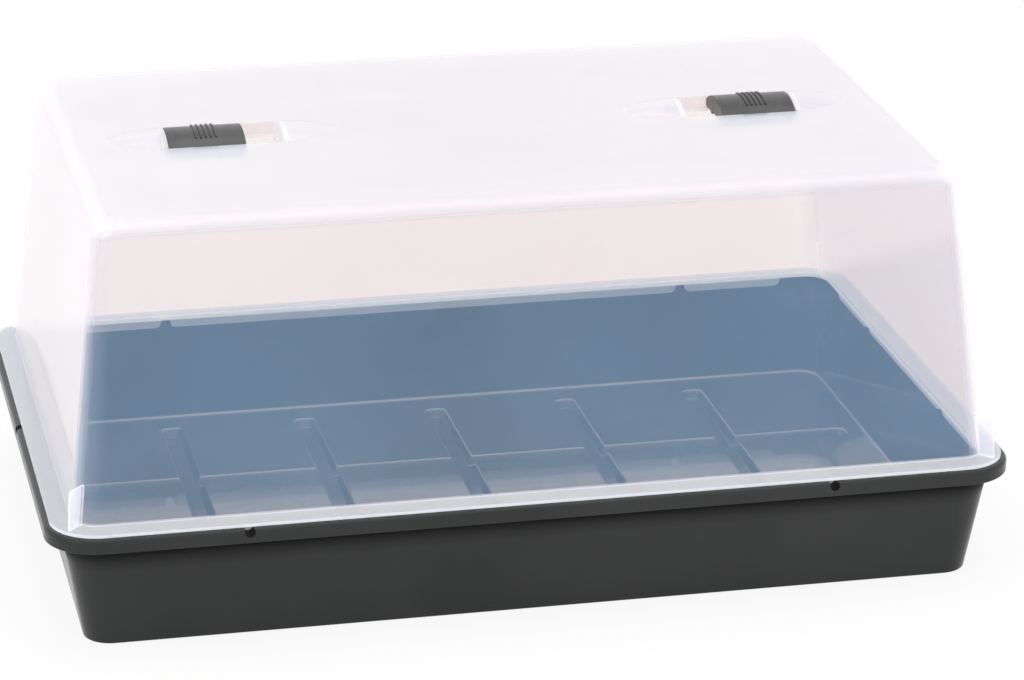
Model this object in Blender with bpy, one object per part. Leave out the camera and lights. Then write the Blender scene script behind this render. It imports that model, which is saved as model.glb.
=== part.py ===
# Seed propagator: a moulded base tray, a clear dome lid and two sliding vent shutters.
# Metres, +Z up. The origin is the middle of the tray's footprint, on the surface it stands on.
# The long sides face -Y (front) and +Y (back). The shutters rest open, at the lid's outer ends.
import math

import bpy
import bmesh
from mathutils import Matrix, Vector

# Tray, outside sizes
RIM_LENGTH = 0.580
RIM_DEPTH = 0.378
RIM_RADIUS = 0.0325
RIM_DROP = 0.0085
RIM_ROUND = 0.0025
RIM_LEDGE = 0.0092
TRAY_HEIGHT = 0.074
TRAY_TAPER = 0.012
TRAY_FOOT_RADIUS = 0.017
TRAY_WALL = 0.002
FOOT_ROUND = 0.0015
LEDGE_INNER_ROUND = 0.0012

# Tray floor: raised panels between sunk drainage grooves
PANEL_LIFT = 0.006
FLOOR_FILLET = 0.009
GROOVE_WIDTH = 0.0125
GROOVE_DRAFT = 0.0012
GROOVE_END_RADIUS = 0.004
CROSS_GROOVE_PITCH = 0.088
CROSS_GROOVE_CLEAR = 0.020
LONG_GROOVE_PITCH = 0.107
LONG_GROOVE_CLEAR = 0.0126

# Drip notches across the rim
NOTCH_FROM_END = 0.1155
NOTCH_WIDTH = 0.006
NOTCH_DEPTH = 0.005
NOTCH_WALL = 0.0015

# Dome lid
LID_HEIGHT = 0.2525
LID_TAPER = 0.0202
LID_WALL = 0.0015
LID_BASE_RADIUS = 0.016
LID_TOP_RADIUS = 0.0126
LID_TOP_ROUND = 0.0115
FLANGE_THICKNESS = 0.002
FLANGE_WIDTH = 0.0121
FLANGE_SETBACK = 0.0035
FLANGE_EDGE_ROUND = 0.0004
SEAT_GAP = 0.0003

# Locating skirt under the flange, in separate lengths
SKIRT_DEPTH = 0.006
SKIRT_WALL = 0.0015
SKIRT_CLEARANCE = 0.0004
SKIRT_GAP = 0.0064
SKIRT_END_RADIUS = 0.0037
SKIRT_GAP_FROM_FRONT = 0.1085
SKIRT_CORNER_CLEAR = 0.0425

# Upright fins on the flange's corners
FIN_HEIGHT = 0.024
FIN_THICKNESS = 0.0013
FIN_EDGE_CLEAR = 0.0012
FIN_LEAN = 0.0016
FIN_TOP_RADIUS = 0.003

# Vents: each is a sunk track between two raised, tapering fairings with arched ends
VENT_FROM_END = 0.0240
TRACK_LENGTH = 0.070
TRACK_HALF_WIDTH = 0.0214
TRACK_DEPTH = 0.0062
TRACK_WALL = 0.0015
ARCH_RISE = 0.005
ARCH_FOOT_DROP = 0.0015
ARCH_WALL = 0.002
FAIRING_LENGTH = 0.0358
VENT_HOLE_HALF_WIDTH = 0.0155

# Vent shutters
SHUTTER_LENGTH = 0.0465
SHUTTER_WALL = 0.0016
SHUTTER_END_GAP = 0.0005
SHUTTER_SIDE_GAP = 0.0004
SHUTTER_FLOOR_GAP = 0.0003
GRIP_RIBS = 5
GRIP_PITCH = 0.003
GRIP_WIDTH = 0.0012
GRIP_RISE = 0.001
GRIP_HALF_SPAN = 0.0130
CLIP_LENGTH = 0.0145
CLIP_THICKNESS = 0.0015
CLIP_SIDE_GAP = 0.0005
CLIP_END_GAP = 0.0005
CLIP_END_SETBACK = 0.002
CLIP_HOOK_REACH = 0.0012
CLIP_HOOK_HEIGHT = 0.0014
CLIP_HOOK_GAP = 0.0004

# How finely round stretches are divided, and how far a cutter runs past what it cuts
CORNER_STEPS = 8
ROUND_STEPS = 4
ARCH_STEPS = 14
FAIRING_STEPS = 8
OVERCUT = 0.001

# Values that follow from the ones above
FLOOR_Z = PANEL_LIFT + TRAY_WALL
SEAT_Z = TRAY_HEIGHT + SEAT_GAP
FLANGE_TOP_Z = SEAT_Z + FLANGE_THICKNESS
FLANGE_LENGTH = RIM_LENGTH - 2 * FLANGE_SETBACK
FLANGE_DEPTH = RIM_DEPTH - 2 * FLANGE_SETBACK
FLANGE_RADIUS = RIM_RADIUS - FLANGE_SETBACK
NOTCH_X = RIM_LENGTH / 2 - NOTCH_FROM_END
LID_TOP_HALF_LENGTH = FLANGE_LENGTH / 2 - FLANGE_WIDTH - LID_TAPER
VENT_X = LID_TOP_HALF_LENGTH - VENT_FROM_END - FAIRING_LENGTH - TRACK_LENGTH / 2
TRACK_FLOOR_Z = LID_HEIGHT - TRACK_DEPTH
ARCH_FOOT_Z = LID_HEIGHT - ARCH_FOOT_DROP
ARCH_TOP_Z = LID_HEIGHT + ARCH_RISE
SHUTTER_HALF_WIDTH = TRACK_HALF_WIDTH - SHUTTER_SIDE_GAP
SHUTTER_TRAVEL = TRACK_LENGTH - SHUTTER_LENGTH - 2 * SHUTTER_END_GAP
SHUTTER_REST_X = VENT_X + SHUTTER_TRAVEL / 2


def clear_scene():
    for item in list(bpy.data.objects):
        bpy.data.objects.remove(item, do_unlink=True)


def plastic(name, colour, roughness, alpha=1.0):
    material = bpy.data.materials.new(name)
    material.use_nodes = True
    shader = material.node_tree.nodes["Principled BSDF"]
    shader.inputs["Base Color"].default_value = (*colour, 1.0)
    shader.inputs["Roughness"].default_value = roughness
    shader.inputs["Metallic"].default_value = 0.0
    shader.inputs["Alpha"].default_value = alpha
    return material


def loft(name, rings):
    """Closed body through rings of equally many points, with a flat cap at each end."""
    bm = bmesh.new()
    rows = [[bm.verts.new(point) for point in ring] for ring in rings]
    count = len(rows[0])
    for low, high in zip(rows, rows[1:]):
        for i in range(count):
            j = (i + 1) % count
            bm.faces.new((low[i], low[j], high[j], high[i]))
    bm.faces.new(list(reversed(rows[0])))
    bm.faces.new(rows[-1])
    bmesh.ops.recalc_face_normals(bm, faces=bm.faces)
    mesh = bpy.data.meshes.new(name)
    bm.to_mesh(mesh)
    bm.free()
    body = bpy.data.objects.new(name, mesh)
    bpy.context.scene.collection.objects.link(body)
    return body


def prism(name, outline, thickness, place):
    """Flat outline in its own XZ plane, thickened equally to both sides, then placed."""
    sides = (-thickness / 2, thickness / 2)
    return loft(name, [[place @ Vector((x, side, z)) for x, z in outline] for side in sides])


def along_x(x):
    """Placing that turns an outline's X to world Y, so that its thickness runs along X."""
    return Matrix.Translation((x, 0, 0)) @ Matrix.Rotation(math.radians(90), 4, "Z")


def box(name, low, high):
    outline = [(low[0], low[2]), (high[0], low[2]), (high[0], high[2]), (low[0], high[2])]
    middle = (low[1] + high[1]) / 2
    return prism(name, outline, high[1] - low[1], Matrix.Translation((0, middle, 0)))


def combine(target, tool, operation):
    modifier = target.modifiers.new(operation.title(), "BOOLEAN")
    modifier.operation = operation
    modifier.solver = "EXACT"
    modifier.object = tool
    bpy.context.view_layer.update()
    evaluated = target.evaluated_get(bpy.context.evaluated_depsgraph_get())
    mesh = bpy.data.meshes.new_from_object(evaluated)
    mesh.name = target.name
    target.modifiers.clear()
    target.data = mesh
    bpy.data.objects.remove(tool, do_unlink=True)


def join(target, tool):
    combine(target, tool, "UNION")


def cut(target, tool):
    combine(target, tool, "DIFFERENCE")


def finish(body, material, smooth_angle=32):
    body.data.materials.clear()
    body.data.materials.append(material)
    body.data.shade_smooth()
    body.data.set_sharp_from_angle(angle=math.radians(smooth_angle))


def arc(centre, radius, start, end, steps):
    """Points of an arc between two angles in degrees, both ends included."""
    angles = [math.radians(start + (end - start) * i / steps) for i in range(steps + 1)]
    return [(centre[0] + radius * math.cos(a), centre[1] + radius * math.sin(a)) for a in angles]


def rounded_rectangle(half_length, half_depth, radius, z, steps=CORNER_STEPS):
    points = []
    for side_x, side_y, start in ((1, 1, 0), (-1, 1, 90), (-1, -1, 180), (1, -1, 270)):
        centre = (side_x * (half_length - radius), side_y * (half_depth - radius))
        points.extend(Vector((x, y, z)) for x, y in arc(centre, radius, start, start + 90, steps))
    return points


def tray_wall(z, offset=0.0):
    """Inset from the rim's edge and corner radius of the tray's wall, both moved inwards."""
    drop = 1 - z / TRAY_HEIGHT
    ledge_radius = RIM_RADIUS - RIM_LEDGE
    radius = ledge_radius + (TRAY_FOOT_RADIUS - ledge_radius) * drop
    return RIM_LEDGE + TRAY_TAPER * drop + offset, radius - offset


def tray_ring(inset, radius, z):
    return rounded_rectangle(RIM_LENGTH / 2 - inset, RIM_DEPTH / 2 - inset, radius, z)


def tray_shell():
    """Skin from under the floor, round the foot, up and over the rim, and down to the floor."""
    rings = [tray_ring(*tray_wall(PANEL_LIFT, TRAY_WALL), PANEL_LIFT)]
    rings.append(tray_ring(*tray_wall(0, TRAY_WALL), 0))
    for inset, z in arc((FOOT_ROUND, FOOT_ROUND), FOOT_ROUND, 270, 180, ROUND_STEPS):
        rings.append(tray_ring(*tray_wall(0, inset), z))
    ledge_under_z = TRAY_HEIGHT - TRAY_WALL
    rings.append(tray_ring(*tray_wall(ledge_under_z), ledge_under_z))
    rings.append(tray_ring(TRAY_WALL, RIM_RADIUS - TRAY_WALL, ledge_under_z))
    rings.append(tray_ring(TRAY_WALL, RIM_RADIUS - TRAY_WALL, TRAY_HEIGHT - RIM_DROP))
    rings.append(tray_ring(0, RIM_RADIUS, TRAY_HEIGHT - RIM_DROP))
    for inset, z in arc((RIM_ROUND, TRAY_HEIGHT - RIM_ROUND), RIM_ROUND, 180, 90, ROUND_STEPS):
        rings.append(tray_ring(inset, RIM_RADIUS - inset, z))
    inner_edge = RIM_LEDGE + TRAY_WALL - LEDGE_INNER_ROUND
    edge_centre = (inner_edge, TRAY_HEIGHT - LEDGE_INNER_ROUND)
    for inset, z in arc(edge_centre, LEDGE_INNER_ROUND, 90, 0, ROUND_STEPS):
        rings.append(tray_ring(inset, RIM_RADIUS - inset, z))
    for across, drop in arc((FLOOR_FILLET, 0), FLOOR_FILLET, 180, 270, ROUND_STEPS):
        z = FLOOR_Z + FLOOR_FILLET + drop
        inset, radius = tray_wall(z, TRAY_WALL + across)
        rings.append(tray_ring(inset, max(radius, TRAY_WALL), z))
    return loft("base_tray", rings)


def groove_places(half_run, pitch, first):
    """Places of the grooves on both sides of the middle, as many as the floor takes."""
    places = [0.0] if first == 0 else []
    place = pitch if first == 0 else first
    while place + GROOVE_WIDTH < half_run:
        places += [-place, place]
        place += pitch
    return places


def groove_boxes():
    """Middle and half sizes of every groove: cross grooves, then lengthwise grooves."""
    floor_inset = tray_wall(FLOOR_Z, TRAY_WALL)[0]
    half_run = RIM_LENGTH / 2 - floor_inset - LONG_GROOVE_CLEAR
    half_cross = RIM_DEPTH / 2 - floor_inset - CROSS_GROOVE_CLEAR
    half_width = GROOVE_WIDTH / 2
    grooves = [(x, 0, half_width, half_cross) for x in groove_places(half_run, CROSS_GROOVE_PITCH, 0)]
    for y in groove_places(half_cross, LONG_GROOVE_PITCH, LONG_GROOVE_PITCH / 2):
        grooves.append((0, y, half_run, half_width))
    return grooves


def groove_body(groove, spread, low_z, high_z):
    """A groove's space, or the trough round it when spread by the wall, narrower at its foot."""
    x, y, half_x, half_y = groove
    rings = []
    for z, draft in ((low_z, GROOVE_DRAFT), (high_z, 0.0)):
        grow = spread - draft
        ring = rounded_rectangle(half_x + grow, half_y + grow, GROOVE_END_RADIUS + grow, z, ROUND_STEPS)
        rings.append([point + Vector((x, y, 0)) for point in ring])
    return loft("groove", rings)


def notch_outline(width, depth, top):
    """U shape hanging from the ledge, with a round bottom."""
    bottom = arc((0, width / 2 - depth), width / 2, 180, 360, CORNER_STEPS)
    return [(-width / 2, top)] + bottom + [(width / 2, top)]


def notch_places():
    """Angle about Z, place along the side and the side's distance from the middle."""
    for angle in (0, 180):
        for along in (-NOTCH_X, NOTCH_X):
            yield angle, along, RIM_DEPTH / 2
    for angle in (90, 270):
        yield angle, 0.0, RIM_LENGTH / 2


def notch_body(outline, place, outer, inner):
    """Runs across the rim from one inset to another, on the side that the place names."""
    angle, along, side = place
    turn = Matrix.Rotation(math.radians(angle), 4, "Z")
    middle = side - (outer + inner) / 2
    move = Matrix.Translation((along, -middle, TRAY_HEIGHT))
    return prism("notch", outline, inner - outer, turn @ move)


def base_tray():
    tray = tray_shell()
    for groove in groove_boxes():
        join(tray, groove_body(groove, TRAY_WALL, 0.0, PANEL_LIFT + TRAY_WALL / 2))
    for groove in groove_boxes():
        cut(tray, groove_body(groove, 0.0, TRAY_WALL, FLOOR_Z + OVERCUT))
    trough = notch_outline(NOTCH_WIDTH + 2 * NOTCH_WALL, NOTCH_DEPTH + NOTCH_WALL, -TRAY_WALL / 2)
    trough_end = tray_wall(TRAY_HEIGHT - NOTCH_DEPTH - NOTCH_WALL, TRAY_WALL / 4)[0]
    channel = notch_outline(NOTCH_WIDTH, NOTCH_DEPTH, OVERCUT)
    channel_end = tray_wall(TRAY_HEIGHT - NOTCH_DEPTH, TRAY_WALL + OVERCUT)[0]
    for place in notch_places():
        join(tray, notch_body(trough, place, TRAY_WALL / 2, trough_end))
        cut(tray, notch_body(channel, place, -OVERCUT, channel_end))
    finish(tray, plastic("tray_plastic", (0.040, 0.043, 0.044), 0.42))
    return tray


def lid_wall(z, offset=0.0):
    """Inset from the flange's edge and corner radius of the lid's wall, both moved inwards."""
    rise = (z - FLANGE_TOP_Z) / (LID_HEIGHT - FLANGE_TOP_Z)
    radius = LID_BASE_RADIUS + (LID_TOP_RADIUS - LID_BASE_RADIUS) * rise
    return FLANGE_WIDTH + LID_TAPER * rise + offset, radius - offset


def lid_ring(inset, radius, z):
    return rounded_rectangle(FLANGE_LENGTH / 2 - inset, FLANGE_DEPTH / 2 - inset, radius, z)


def lid_top_rings(offset):
    """Rings from the top of the wall over its round edge, ending on the flat top."""
    round_radius = LID_TOP_ROUND - offset
    rings = []
    for across, rise in arc((round_radius, 0), round_radius, 180, 90, ROUND_STEPS + 1):
        z = LID_HEIGHT - LID_TOP_ROUND + rise
        inset, radius = lid_wall(z, offset + across)
        rings.append(lid_ring(inset, max(radius, LID_WALL), z))
    return rings


def lid_shell():
    """Skin from under the top, down inside, round the flange and up outside to the top."""
    rings = list(reversed(lid_top_rings(LID_WALL)))
    rings.append(lid_ring(*lid_wall(SEAT_Z, LID_WALL), SEAT_Z))
    rings.append(lid_ring(0, FLANGE_RADIUS, SEAT_Z))
    edge = FLANGE_EDGE_ROUND
    rings.append(lid_ring(0, FLANGE_RADIUS, FLANGE_TOP_Z - edge))
    rings.append(lid_ring(edge, FLANGE_RADIUS - edge, FLANGE_TOP_Z))
    rings.append(lid_ring(*lid_wall(FLANGE_TOP_Z), FLANGE_TOP_Z))
    rings += lid_top_rings(0.0)
    return loft("dome_lid", rings)


def skirt_spans(half_length, gap_centre):
    """Start and end of the skirt's lengths along one side, with a gap on each side of its middle."""
    end = half_length - SKIRT_CORNER_CLEAR
    near = gap_centre - SKIRT_GAP / 2
    far = gap_centre + SKIRT_GAP / 2
    return [(-end, -far), (-near, near), (far, end)]


def add_skirt(lid):
    """Hangs inside the tray's wall, clear of it where the tapering wall comes closest."""
    foot_z = SEAT_Z - SKIRT_DEPTH
    inset = tray_wall(foot_z, TRAY_WALL + SKIRT_CLEARANCE + SKIRT_WALL / 2)[0]
    top_z = SEAT_Z + FLANGE_THICKNESS / 2
    corner = SKIRT_END_RADIUS
    short_gap = FLANGE_DEPTH / 2 - SKIRT_GAP_FROM_FRONT
    long_side = (FLANGE_LENGTH / 2, RIM_DEPTH / 2 - inset, NOTCH_X, (0, 180))
    short_side = (FLANGE_DEPTH / 2, RIM_LENGTH / 2 - inset, short_gap, (90, 270))
    for half_length, distance, gap_centre, angles in (long_side, short_side):
        for angle in angles:
            turn = Matrix.Rotation(math.radians(angle), 4, "Z")
            for start, end in skirt_spans(half_length, gap_centre):
                outline = [(start, top_z)]
                outline += arc((start + corner, foot_z + corner), corner, 180, 270, ROUND_STEPS)
                outline += arc((end - corner, foot_z + corner), corner, 270, 360, ROUND_STEPS)
                outline.append((end, top_z))
                move = Matrix.Translation((0, -distance, 0))
                join(lid, prism("skirt", outline, SKIRT_WALL, turn @ move))


def add_fins(lid):
    """One on each corner of the flange, from the lid's wall out along the diagonal."""
    hub_x = FLANGE_LENGTH / 2 - FLANGE_RADIUS
    hub_y = FLANGE_DEPTH / 2 - FLANGE_RADIUS

    def wall_reach(z):
        inset, radius = lid_wall(z, LID_WALL / 2)
        return math.sqrt(2) * (FLANGE_RADIUS - inset - radius) + radius

    root_z = FLANGE_TOP_Z - FLANGE_THICKNESS / 2
    top_z = FLANGE_TOP_Z + FIN_HEIGHT
    outer = FLANGE_RADIUS - FIN_EDGE_CLEAR
    corner = (outer - FIN_LEAN - FIN_TOP_RADIUS, top_z - FIN_TOP_RADIUS)
    outline = [(wall_reach(root_z), root_z), (outer, root_z)]
    outline += arc(corner, FIN_TOP_RADIUS, 0, 90, ROUND_STEPS)
    outline.append((wall_reach(top_z), top_z))
    for side_x, side_y, angle in ((1, 1, 45), (-1, 1, 135), (-1, -1, 225), (1, -1, 315)):
        turn = Matrix.Rotation(math.radians(angle), 4, "Z")
        move = Matrix.Translation((side_x * hub_x, side_y * hub_y, 0))
        join(lid, prism("fin", outline, FIN_THICKNESS, move @ turn))


def arch(half_width, foot_z, top_z, steps=ARCH_STEPS):
    """Points (y, z) over a shallow round arch, from +y to -y."""
    rise = top_z - foot_z
    radius = (rise * rise + half_width * half_width) / (2 * rise)
    spread = math.degrees(math.atan2(half_width, radius - rise))
    return arc((0, top_z - radius), radius, 90 - spread, 90 + spread, steps)


def fairing(start_x, direction, length, skip, thin):
    """Half of a boat-shaped hood, thinned by a wall's thickness where it is the hollow inside."""
    rings = []
    for step in range(FAIRING_STEPS + 1):
        share = skip / length + (1 - skip / length) * math.sin(math.pi / 2 * step / FAIRING_STEPS)
        scale = max(math.sqrt(max(1 - share * share, 0)), 0.05)
        foot_z = ARCH_FOOT_Z - thin
        rise = (ARCH_TOP_Z - ARCH_FOOT_Z) * scale
        x = start_x + direction * length * share
        outline = arch((TRACK_HALF_WIDTH - thin) * scale, foot_z, foot_z + rise)
        rings.append([Vector((x, y, z)) for y, z in outline])
    return loft("fairing", rings)


def add_vent(lid, side):
    """Two fairings, the track sunk between them and the hole in the track's floor."""
    middle = side * VENT_X
    half_track = TRACK_LENGTH / 2
    for direction in (-1, 1):
        start = middle + direction * half_track
        join(lid, fairing(start, direction, FAIRING_LENGTH, -OVERCUT, 0.0))
        hollow_length = FAIRING_LENGTH - 2 * LID_WALL
        cut(lid, fairing(start, direction, hollow_length, ARCH_WALL, LID_WALL))
    half_well = half_track + ARCH_WALL
    half_width = TRACK_HALF_WIDTH + TRACK_WALL
    under_z = TRACK_FLOOR_Z - TRACK_WALL
    well_top_z = LID_HEIGHT - LID_WALL / 2
    join(lid, box("well", (middle - half_well, -half_width, under_z),
                  (middle + half_well, half_width, well_top_z)))
    cut(lid, box("track", (middle - half_track, -TRACK_HALF_WIDTH, TRACK_FLOOR_Z),
                 (middle + half_track, TRACK_HALF_WIDTH, ARCH_TOP_Z + OVERCUT)))
    clip_outer = SHUTTER_REST_X - SHUTTER_LENGTH / 2 + CLIP_END_SETBACK + CLIP_LENGTH
    hole_outer = clip_outer + CLIP_END_GAP
    hole_inner = clip_outer - CLIP_LENGTH - SHUTTER_TRAVEL - CLIP_END_GAP
    low_x, high_x = sorted((side * hole_inner, side * hole_outer))
    cut(lid, box("hole", (low_x, -VENT_HOLE_HALF_WIDTH, under_z - OVERCUT),
                 (high_x, VENT_HOLE_HALF_WIDTH, TRACK_FLOOR_Z + OVERCUT)))


def dome_lid():
    lid = lid_shell()
    add_skirt(lid)
    add_fins(lid)
    for side in (-1, 1):
        add_vent(lid, side)
    finish(lid, plastic("lid_plastic", (0.86, 0.87, 0.92), 0.12, 0.4))
    return lid


def shutter_outline(thin, bottom_z):
    """Arched top and upright sides, thinned by a wall's thickness where it is the hollow."""
    half_width = SHUTTER_HALF_WIDTH - thin
    top = arch(half_width, ARCH_FOOT_Z - thin / 2, ARCH_TOP_Z - thin)
    return [(-half_width, bottom_z), (half_width, bottom_z)] + top


def arch_height(y):
    """Height of the shutter's outside at a distance from its middle line."""
    rise = ARCH_TOP_Z - ARCH_FOOT_Z
    radius = (rise * rise + SHUTTER_HALF_WIDTH * SHUTTER_HALF_WIDTH) / (2 * rise)
    return ARCH_TOP_Z - radius + math.sqrt(radius * radius - y * y)


def grip_outline():
    """Low rib lying over the arch, fading into it at both ends."""
    ys = [GRIP_HALF_SPAN * (1 - 2 * i / ARCH_STEPS) for i in range(ARCH_STEPS + 1)]
    upper = [(y, arch_height(y) + GRIP_RISE * (1 - (y / GRIP_HALF_SPAN) ** 6)) for y in ys]
    lower = [(y, arch_height(y) - SHUTTER_WALL / 2) for y in reversed(ys)]
    return upper + lower


def clip_outline(side):
    """Leg down through the vent hole, with a hook that catches under the track's floor."""
    outer = VENT_HOLE_HALF_WIDTH - CLIP_SIDE_GAP
    inner = outer - CLIP_THICKNESS
    root_z = arch_height(outer) - SHUTTER_WALL / 2
    hook_top_z = TRACK_FLOOR_Z - TRACK_WALL - CLIP_HOOK_GAP
    hook_y = VENT_HOLE_HALF_WIDTH + CLIP_HOOK_REACH
    foot_z = hook_top_z - CLIP_HOOK_HEIGHT
    points = [(inner, root_z), (inner, foot_z), (outer, foot_z), (hook_y, hook_top_z - CLIP_HOOK_GAP),
              (hook_y, hook_top_z), (outer, hook_top_z), (outer, root_z)]
    return [(side * y, z) for y, z in points]


def vent_shutter(name, side):
    """Arched cap with closed ends, open below, with grip ribs and two clip legs."""
    bottom_z = TRACK_FLOOR_Z + SHUTTER_FLOOR_GAP
    shutter = prism(name, shutter_outline(0.0, bottom_z), SHUTTER_LENGTH, along_x(0))
    hollow = shutter_outline(SHUTTER_WALL, bottom_z - OVERCUT)
    cut(shutter, prism("hollow", hollow, SHUTTER_LENGTH - 2 * SHUTTER_WALL, along_x(0)))
    for i in range(GRIP_RIBS):
        x = (i - (GRIP_RIBS - 1) / 2) * GRIP_PITCH
        join(shutter, prism("grip", grip_outline(), GRIP_WIDTH, along_x(x)))
    clip_x = -side * (SHUTTER_LENGTH / 2 - CLIP_END_SETBACK - CLIP_LENGTH / 2)
    for clip_side in (-1, 1):
        join(shutter, prism("clip", clip_outline(clip_side), CLIP_LENGTH, along_x(clip_x)))
    shutter.data.transform(Matrix.Translation((0, 0, -TRACK_FLOOR_Z)))
    shutter.location = (side * SHUTTER_REST_X, 0, TRACK_FLOOR_Z)
    finish(shutter, plastic(name + "_plastic", (0.16, 0.165, 0.16), 0.45))
    return shutter


clear_scene()
base_tray()
lid_body = dome_lid()
for shutter_name, shutter_side in (("vent_shutter_left", -1), ("vent_shutter_right", 1)):
    vent_shutter(shutter_name, shutter_side).parent = lid_body
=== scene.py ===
import math

import bmesh
import bpy
from mathutils import Matrix, Vector
from mathutils.bvhtree import BVHTree


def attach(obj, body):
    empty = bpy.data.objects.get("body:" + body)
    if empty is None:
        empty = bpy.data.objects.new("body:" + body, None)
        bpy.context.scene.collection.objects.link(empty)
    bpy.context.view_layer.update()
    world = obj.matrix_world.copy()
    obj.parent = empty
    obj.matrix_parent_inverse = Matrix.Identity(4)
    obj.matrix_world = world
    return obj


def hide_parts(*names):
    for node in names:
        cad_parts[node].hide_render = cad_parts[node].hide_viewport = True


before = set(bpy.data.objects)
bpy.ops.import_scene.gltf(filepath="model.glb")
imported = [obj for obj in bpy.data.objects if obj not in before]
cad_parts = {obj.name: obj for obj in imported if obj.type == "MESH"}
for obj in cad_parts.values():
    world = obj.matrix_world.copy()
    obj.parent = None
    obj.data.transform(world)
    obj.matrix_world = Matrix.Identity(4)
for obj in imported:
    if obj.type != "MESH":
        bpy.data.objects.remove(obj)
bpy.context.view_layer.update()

bothSides = (-1, 1)
fourCorners = ((1, 1), (-1, 1), (-1, -1), (1, -1))
overlap = 0.001     # how far a tool reaches past the face that it cuts
print("frame loaded")


# select, edit and apply steps

def chooseOnly(piece):
    bpy.ops.object.select_all(action="DESELECT")
    piece.select_set(True)
    bpy.context.view_layer.objects.active = piece


def startEditing(piece, kind="VERT"):
    chooseOnly(piece)
    bpy.ops.object.mode_set(mode="EDIT")
    bpy.ops.mesh.select_mode(type=kind)
    bpy.ops.mesh.select_all(action="DESELECT")


def stopEditing():
    bpy.ops.mesh.select_all(action="DESELECT")
    bpy.ops.object.mode_set(mode="OBJECT")


def pick(piece, kind, test):
    # kind is verts, edges or faces
    mesh = bmesh.from_edit_mesh(piece.data)
    for part in getattr(mesh, kind):
        part.select_set(bool(test(part)))
    mesh.select_flush_mode()
    bmesh.update_edit_mesh(piece.data)


def applyModifier(piece, kind, **settings):
    chooseOnly(piece)
    bpy.ops.object.modifier_add(type=kind)
    modifier = piece.modifiers[-1]
    for name, value in settings.items():
        setattr(modifier, name, value)
    bpy.ops.object.modifier_apply(modifier=modifier.name)


def combine(piece, tools, operation):
    for tool in tools:
        applyModifier(piece, "BOOLEAN", operation=operation, solver="EXACT", object=tool)
        bpy.data.objects.remove(tool, do_unlink=True)
    return piece


def weldOn(piece, *tools):
    return combine(piece, tools, "UNION")


def cutAway(piece, *tools):
    return combine(piece, tools, "DIFFERENCE")


def keepInside(piece, *tools):
    return combine(piece, tools, "INTERSECT")


def roundEdges(piece, width, segments, angle=50):
    applyModifier(piece, "BEVEL", width=width, segments=segments, limit_method="ANGLE",
                  angle_limit=math.radians(angle), use_clamp_overlap=True)
    return piece


def settle(piece):
    # the piece's place goes into its mesh
    chooseOnly(piece)
    bpy.ops.object.transform_apply(location=True, rotation=True, scale=True)
    return piece


def placeAt(piece, angle=0.0, location=(0, 0, 0)):
    piece.rotation_euler = (0, 0, math.radians(angle))
    piece.location = location
    return settle(piece)


def makeBlock(low, high):
    bpy.ops.mesh.primitive_cube_add(size=1, location=[(a + b) / 2 for a, b in zip(low, high)])
    block = bpy.context.active_object
    block.scale = [b - a for a, b in zip(low, high)]
    return settle(block)


def makeRod(radius, low, high, axis, centre, sides):
    # axis is 0 for X, 1 for Y, 2 for Z; centre gives the other two places
    turns = ((0, math.pi / 2, 0), (math.pi / 2, 0, 0), (0, 0, 0))
    location = list(centre)
    location.insert(axis, (low + high) / 2)
    bpy.ops.mesh.primitive_cylinder_add(vertices=sides, radius=radius, depth=high - low,
                                        location=location, rotation=turns[axis])
    return settle(bpy.context.active_object)


def turnPoints(centre, radius, start, end, steps):
    # points round part of a circle, angles in degrees, both ends included
    angles = [math.radians(start + (end - start) * i / steps) for i in range(steps + 1)]
    return [(centre[0] + radius * math.cos(a), centre[1] + radius * math.sin(a)) for a in angles]


# rings: (half length, half depth, corner radius, height)

def startRing(name, ring, cornerSteps):
    halfLength, halfDepth, radius, z = ring
    bpy.ops.mesh.primitive_plane_add(size=2, location=(0, 0, 0))
    piece = bpy.context.active_object
    piece.name = name
    startEditing(piece)
    bpy.ops.mesh.select_all(action="SELECT")
    bpy.ops.transform.resize(value=(halfLength, halfDepth, 1), center_override=(0, 0, 0))
    bpy.ops.transform.translate(value=(0, 0, z))
    bpy.ops.mesh.bevel(offset=radius, segments=cornerSteps, affect="VERTICES")
    return piece


def nextRing(piece, last, ring):
    # pulls out the picked face, sizes it, then brings each corner to its own radius
    halfLength, halfDepth, radius, z = ring
    bpy.ops.mesh.extrude_region_move(TRANSFORM_OT_translate={"value": (0, 0, z - last[3])})
    stretchX, stretchY = halfLength / last[0], halfDepth / last[1]
    bpy.ops.transform.resize(value=(stretchX, stretchY, 1), center_override=(0, 0, z))
    mesh = bmesh.from_edit_mesh(piece.data)
    mesh.verts.index_update()
    ringPoints = {vert.index for vert in mesh.verts if vert.select}
    shrinkX, shrinkY = radius / (last[2] * stretchX), radius / (last[2] * stretchY)
    for sideX, sideY in fourCorners:
        pick(piece, "verts", lambda v: v.index in ringPoints and v.co.x * sideX > 0 < v.co.y * sideY)
        bpy.ops.transform.resize(value=(shrinkX, shrinkY, 1),
                                 center_override=(sideX * halfLength, sideY * halfDepth, z))
    pick(piece, "verts", lambda v: v.index in ringPoints)


def ringBody(name, rings, cornerSteps, middle=(0, 0)):
    piece = startRing(name, rings[0], cornerSteps)
    for last, ring in zip(rings, rings[1:]):
        nextRing(piece, last, ring)
    bpy.ops.mesh.select_all(action="SELECT")
    bpy.ops.mesh.normals_make_consistent(inside=False)
    bpy.ops.transform.translate(value=(*middle, 0))
    stopEditing()
    return piece


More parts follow.
